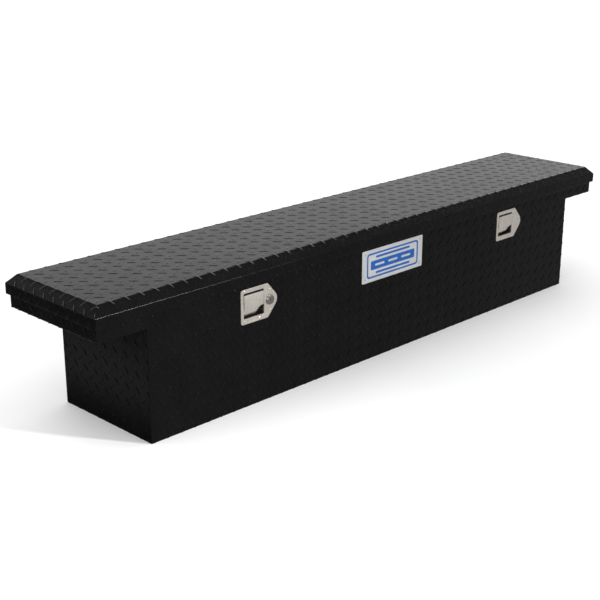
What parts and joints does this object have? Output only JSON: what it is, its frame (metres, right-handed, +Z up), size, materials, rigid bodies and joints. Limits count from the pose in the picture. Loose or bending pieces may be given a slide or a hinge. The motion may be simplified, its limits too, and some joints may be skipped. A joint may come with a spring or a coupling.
{
  "type": "truck tool box",
  "caption": "Crossover truck tool box: T-section tread-plate tub with end wings for the bed rails, one rear-hinged lid with gas struts, recessed paddle latches and a plain nameplate.",
  "frame": {"origin": "middle of the underside of the tub floor", "axes": "+X along the box towards its right end seen from the front, front (latch side) faces -Y, +Z up"},
  "size_m": [1.752, 0.3183, 0.328],
  "materials": {
    "coat_tread": "gloss black powder coat on aluminium tread plate",
    "coat_smooth": "gloss black powder coat on flat sheet",
    "seal_foam": "closed-cell foam with a slight sheen",
    "stainless": "polished stainless sheet, fine brushing",
    "rivet_aluminium": "bright set rivet",
    "zinc_steel": "zinc-plated steel",
    "spring_steel": "oiled spring wire",
    "nameplate_metal": "satin silver plate with a blue print",
    "lock_chrome": "bright nickel plating",
    "strut_paint": "satin black paint",
    "strut_fitting": "glass-filled black plastic",
    "strut_chrome": "ground and chromed rod"
  },
  "bodies": {
    "tub": {"front_panel": "coat_tread", "back_panel": "coat_tread", "floor_panel": "coat_tread", "weatherstrip": "seal_foam", "hinge_leaf_tub": "coat_smooth", "hinge_pin": "stainless", "hinge_rivets_tub": "rivet_aluminium", "nameplate": "nameplate_metal", "nameplate_rivets": "rivet_aluminium", "lock_cylinder": "lock_chrome", "lock_nut": "zinc_steel", "end_panel_left": "coat_tread", "end_panel_right": "coat_tread", "latch_plate_left": "stainless", "latch_plate_right": "stainless", "latch_rivets_left": "stainless", "latch_rivets_right": "stainless", "latch_bracket_left": "zinc_steel", "latch_bracket_right": "zinc_steel", "hook_pin_left": "zinc_steel", "hook_pin_right": "zinc_steel", "hook_spring_left": "spring_steel", "hook_spring_right": "spring_steel", "paddle_pin_left": "stainless", "paddle_pin_right": "stainless", "paddle_spring_left": "spring_steel", "paddle_spring_right": "spring_steel", "strut_mount_tub_left": "zinc_steel", "strut_mount_tub_right": "zinc_steel"},
    "lid": {"lid_shell": "coat_tread", "lid_inner_pan": "coat_smooth", "lid_stiffener_left": "coat_smooth", "lid_stiffener_center": "coat_smooth", "lid_stiffener_right": "coat_smooth", "hinge_leaf_lid": "coat_smooth", "hinge_rivets_lid": "rivet_aluminium", "striker_left": "zinc_steel", "striker_right": "zinc_steel", "striker_rivets_left": "rivet_aluminium", "striker_rivets_right": "rivet_aluminium", "strut_mount_lid_left": "zinc_steel", "strut_mount_lid_right": "zinc_steel", "strut_mount_rivets_lid_left": "rivet_aluminium", "strut_mount_rivets_lid_right": "rivet_aluminium"},
    "lock_barrel": {"lock_plug": "lock_chrome", "lock_cam": "zinc_steel"},
    "paddle_left": {"paddle_left": "stainless"},
    "hook_left": {"latch_hook_left": "zinc_steel"},
    "strut_tube_left": {"strut_cylinder_left": "strut_paint", "strut_lower_eye_left": "strut_fitting"},
    "strut_rod_left": {"strut_rod_left": "strut_chrome", "strut_upper_eye_left": "strut_fitting"},
    "paddle_right": {"paddle_right": "stainless"},
    "hook_right": {"latch_hook_right": "zinc_steel"},
    "strut_tube_right": {"strut_cylinder_right": "strut_paint", "strut_lower_eye_right": "strut_fitting"},
    "strut_rod_right": {"strut_rod_right": "strut_chrome", "strut_upper_eye_right": "strut_fitting"}
  },
  "joints": [
    {"name": "lid_hinge", "type": "hinge", "parent": "tub", "child": "lid", "pos_m": [0, 0.1551, 0.28], "axis": [-1, 0, 0], "range_deg": [0, 80]},
    {"name": "paddle_pull_left", "type": "hinge", "parent": "tub", "child": "paddle_left", "pos_m": [-0.459, -0.1465, 0.256], "axis": [-1, 0, 0], "range_deg": [0, 40], "stiffness_Nm_per_rad": 0.08},
    {"name": "hook_turn_left", "type": "hinge", "parent": "tub", "child": "hook_left", "pos_m": [-0.459, -0.1135, 0.248], "axis": [1, 0, 0], "range_deg": [0, 24]},
    {"name": "strut_tilt_left", "type": "hinge", "parent": "tub", "child": "strut_tube_left", "pos_m": [-0.731, -0.01, 0.1], "axis": [-1, 0, 0], "range_deg": [0, 3.02]},
    {"name": "strut_stroke_left", "type": "slide", "parent": "strut_tube_left", "child": "strut_rod_left", "axis": [0, 0.4982, 0.8671], "range_m": [0, 0.07755]},
    {"name": "paddle_pull_right", "type": "hinge", "parent": "tub", "child": "paddle_right", "pos_m": [0.459, -0.1465, 0.256], "axis": [-1, 0, 0], "range_deg": [0, 40], "stiffness_Nm_per_rad": 0.08},
    {"name": "hook_turn_right", "type": "hinge", "parent": "tub", "child": "hook_right", "pos_m": [0.459, -0.1135, 0.248], "axis": [1, 0, 0], "range_deg": [0, 24]},
    {"name": "strut_tilt_right", "type": "hinge", "parent": "tub", "child": "strut_tube_right", "pos_m": [0.731, -0.01, 0.1], "axis": [-1, 0, 0], "range_deg": [0, 3.02]},
    {"name": "strut_stroke_right", "type": "slide", "parent": "strut_tube_right", "child": "strut_rod_right", "axis": [0, 0.4982, 0.8671], "range_m": [0, 0.07755]},
    {"name": "lock_turn", "type": "hinge", "parent": "tub", "child": "lock_barrel", "pos_m": [-0.4115, -0.1515, 0.234], "axis": [0, 1, 0], "range_deg": [0, 90]}
  ],
  "couplings": [
    {"joint": "hook_turn_left", "follows": "paddle_pull_left", "ratio": 0.6},
    {"joint": "strut_tilt_left", "follows": "lid_hinge", "ratio": 0.037713},
    {"joint": "strut_stroke_left", "follows": "lid_hinge", "m_per_rad": 0.055504},
    {"joint": "hook_turn_right", "follows": "paddle_pull_right", "ratio": 0.6},
    {"joint": "strut_tilt_right", "follows": "lid_hinge", "ratio": 0.037713},
    {"joint": "strut_stroke_right", "follows": "lid_hinge", "m_per_rad": 0.055504}
  ]
}
